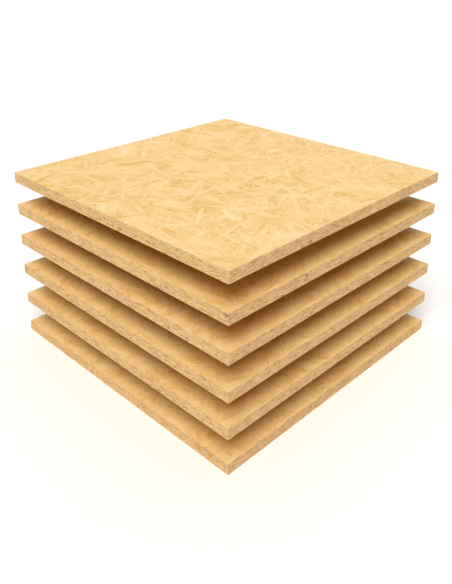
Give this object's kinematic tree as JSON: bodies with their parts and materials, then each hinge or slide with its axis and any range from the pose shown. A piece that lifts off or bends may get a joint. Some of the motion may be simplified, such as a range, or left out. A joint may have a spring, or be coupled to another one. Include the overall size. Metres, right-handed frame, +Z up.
{
  "type": "stack of oriented strand board panels",
  "caption": "Stack of square sawn oriented strand board panels, kept apart by hidden wooden spacer battens; raw sheet stock for building and joinery.",
  "frame": {"origin": "middle of the underside of the bottom panel, where the stack stands on the floor", "axes": "+Z up through the stack, +X and +Y along the panels' sides, and the battens run along Y"},
  "size_m": [0.61, 0.61, 0.367],
  "materials": {
    "strand_board": "pressed wood strands, lightly waxed faces and sawn edges",
    "batten_timber": "planed softwood, unfinished"
  },
  "bodies": {
    "root": {"panel_1": "strand_board", "panel_2": "strand_board", "panel_3": "strand_board", "panel_4": "strand_board", "panel_5": "strand_board", "panel_6": "strand_board", "batten_1_left": "batten_timber", "batten_1_right": "batten_timber", "batten_2_left": "batten_timber", "batten_2_right": "batten_timber", "batten_3_left": "batten_timber", "batten_3_right": "batten_timber", "batten_4_left": "batten_timber", "batten_4_right": "batten_timber", "batten_5_left": "batten_timber", "batten_5_right": "batten_timber"}
  },
  "joints": []
}
